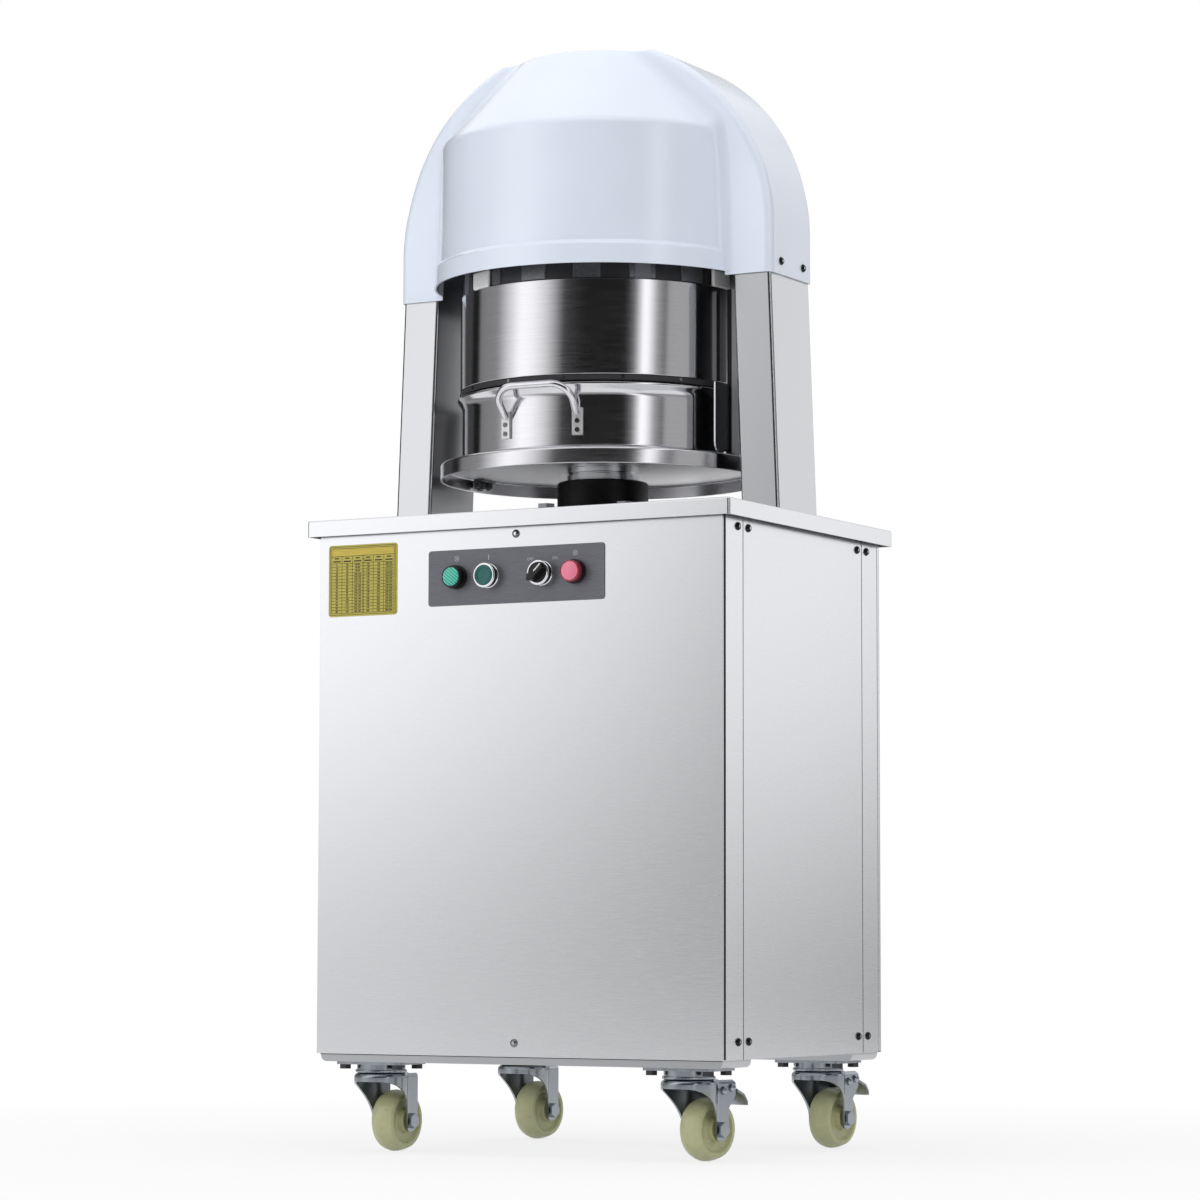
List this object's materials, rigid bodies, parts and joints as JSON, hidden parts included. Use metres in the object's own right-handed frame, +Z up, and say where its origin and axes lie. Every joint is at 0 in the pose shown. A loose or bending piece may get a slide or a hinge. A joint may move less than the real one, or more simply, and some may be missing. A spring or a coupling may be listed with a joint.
{
  "type": "dough divider",
  "caption": "Floor-standing hydraulic dough divider: sheet cabinet on casters, leaning columns, domed hood, dividing head and a round pan lifted by a ram.",
  "frame": {"origin": "on the floor under the middle of the cabinet", "axes": "+Z up, +X to the right seen from the front, the front with the controls faces -Y"},
  "size_m": [0.5872, 0.4886, 1.3545],
  "materials": {
    "cabinet_stainless": "satin brushed stainless sheet",
    "column_stainless": "satin stainless tube",
    "bright_stainless": "bright turned stainless",
    "rod_stainless": "polished stainless rod",
    "fastener_steel": "plated steel",
    "hood_white": "cool white gloss moulding",
    "bed_steel": "grey painted steel",
    "gland_black": "black oxide",
    "ram_chrome": "ground hard chrome",
    "cast_alloy": "rough cast aluminium",
    "knife_steel": "ground blade steel",
    "pad_plastic": "white food plastic",
    "gasket_dark": "dark grey rubber",
    "control_grey": "dark grey printed plate",
    "chart_gold": "gold printed aluminium",
    "device_black": "black plastic",
    "lamp_green": "translucent green lens",
    "lamp_red": "translucent red lens",
    "bezel_chrome": "chromed ring",
    "button_green": "dark green cap",
    "knob_black": "black plastic with a white line",
    "box_grey": "grey enclosure",
    "tank_paint": "painted tank steel",
    "motor_paint": "painted motor casing",
    "pump_alloy": "machined alloy",
    "hose_rubber": "black rubber hose",
    "caster_zinc": "zinc plated pressing",
    "wheel_nylon": "cream nylon",
    "pedal_zinc": "zinc plated pressing"
  },
  "bodies": {
    "cabinet": {"cabinet_frame": "cabinet_stainless", "bed_plate": "bed_steel", "front_panel": "cabinet_stainless", "rear_panel": "cabinet_stainless", "left_side_panel": "cabinet_stainless", "right_side_panel": "cabinet_stainless", "top_plate": "cabinet_stainless", "cover_screws": "fastener_steel", "left_column": "column_stainless", "right_column": "column_stainless", "bed_bolts": "fastener_steel", "hood": "hood_white", "control_plate": "control_grey", "chart_plate": "chart_gold", "switch_bodies": "device_black", "green_lamp_lens": "lamp_green", "red_lamp_lens": "lamp_red", "button_bezels": "bezel_chrome", "electric_box": "box_grey", "cable_gland": "device_black", "cylinder_barrel": "bed_steel", "cylinder_gland": "gland_black", "oil_tank": "tank_paint", "pump_motor": "motor_paint", "gear_pump": "pump_alloy", "valve_block": "pump_alloy", "pressure_hose": "hose_rubber", "head_beam": "bed_steel", "knife_head": "cast_alloy", "knife_grid": "knife_steel", "caster_plates": "caster_zinc", "caster_bolts": "fastener_steel"},
    "lift": {"ram": "ram_chrome", "tray": "bright_stainless", "tray_bolts": "fastener_steel", "pan_guides": "bright_stainless"},
    "sleeve": {"head_sleeve": "bright_stainless", "sleeve_gasket": "gasket_dark", "gasket_screws": "fastener_steel", "press_carrier": "bed_steel", "press_pads": "pad_plastic"},
    "pan": {"dough_pan": "bright_stainless", "pan_handles": "rod_stainless", "handle_rivets": "rod_stainless"},
    "start_button": {"start_button": "button_green"},
    "selector": {"selector_knob": "knob_black"},
    "front_left_swivel": {"front_left_fork": "caster_zinc", "front_left_axle": "caster_zinc"},
    "front_left_wheel": {"front_left_wheel": "wheel_nylon"},
    "front_right_swivel": {"front_right_fork": "caster_zinc", "front_right_axle": "caster_zinc"},
    "front_right_wheel": {"front_right_wheel": "wheel_nylon"},
    "front_right_brake": {"front_right_brake_pedal": "pedal_zinc"},
    "rear_left_swivel": {"rear_left_fork": "caster_zinc", "rear_left_axle": "caster_zinc"},
    "rear_left_wheel": {"rear_left_wheel": "wheel_nylon"},
    "rear_right_swivel": {"rear_right_fork": "caster_zinc", "rear_right_axle": "caster_zinc"},
    "rear_right_wheel": {"rear_right_wheel": "wheel_nylon"},
    "rear_right_brake": {"rear_right_brake_pedal": "pedal_zinc"}
  },
  "joints": [
    {"name": "ram_lift", "type": "slide", "parent": "cabinet", "child": "lift", "axis": [0, 0, 1], "range_m": [0, 0.086]},
    {"name": "sleeve_rise", "type": "slide", "parent": "cabinet", "child": "sleeve", "axis": [0, 0, 1], "range_m": [0, 0.084]},
    {"name": "pan_slide", "type": "slide", "parent": "lift", "child": "pan", "axis": [0, 1, 0], "range_m": [-0.45, 0]},
    {"name": "start_press", "type": "slide", "parent": "cabinet", "child": "start_button", "axis": [0, 1, 0], "range_m": [0, 0.004], "stiffness_N_per_m": 300},
    {"name": "selector_turn", "type": "hinge", "parent": "cabinet", "child": "selector", "pos_m": [0.0375, -0.222, 0.696], "axis": [0, -1, 0], "range_deg": [0, 90]},
    {"name": "front_left_swivel_turn", "type": "hinge", "parent": "cabinet", "child": "front_left_swivel", "pos_m": [-0.213, -0.172, 0.09], "axis": [0, 0, 1], "continuous": true},
    {"name": "front_left_wheel_roll", "type": "hinge", "parent": "front_left_swivel", "child": "front_left_wheel", "pos_m": [-0.21099, -0.13906, 0.0375], "axis": [0.9981, -0.061, 0], "continuous": true},
    {"name": "front_right_swivel_turn", "type": "hinge", "parent": "cabinet", "child": "front_right_swivel", "pos_m": [0.213, -0.172, 0.09], "axis": [0, 0, 1], "continuous": true},
    {"name": "front_right_wheel_roll", "type": "hinge", "parent": "front_right_swivel", "child": "front_right_wheel", "pos_m": [0.22042, -0.13985, 0.0375], "axis": [0.9744, -0.225, 0], "continuous": true},
    {"name": "front_right_brake_press", "type": "hinge", "parent": "front_right_swivel", "child": "front_right_brake", "pos_m": [0.2247, -0.12133, 0.086], "axis": [-0.9744, 0.225, 0], "range_deg": [0, 18]},
    {"name": "rear_left_swivel_turn", "type": "hinge", "parent": "cabinet", "child": "rear_left_swivel", "pos_m": [-0.213, 0.172, 0.09], "axis": [0, 0, 1], "continuous": true},
    {"name": "rear_left_wheel_roll", "type": "hinge", "parent": "rear_left_swivel", "child": "rear_left_wheel", "pos_m": [-0.20841, 0.20468, 0.0375], "axis": [0.9903, -0.1392, 0], "continuous": true},
    {"name": "rear_right_swivel_turn", "type": "hinge", "parent": "cabinet", "child": "rear_right_swivel", "pos_m": [0.213, 0.172, 0.09], "axis": [0, 0, 1], "continuous": true},
    {"name": "rear_right_wheel_roll", "type": "hinge", "parent": "rear_right_swivel", "child": "rear_right_wheel", "pos_m": [0.21702, 0.20475, 0.0375], "axis": [0.9925, -0.1219, 0], "continuous": true},
    {"name": "rear_right_brake_press", "type": "hinge", "parent": "rear_right_swivel", "child": "rear_right_brake", "pos_m": [0.21934, 0.22361, 0.086], "axis": [-0.9925, 0.1219, 0], "range_deg": [0, 18]}
  ],
  "couplings": [
    {"joint": "sleeve_rise", "follows": "ram_lift", "ratio": 0.97488}
  ]
}
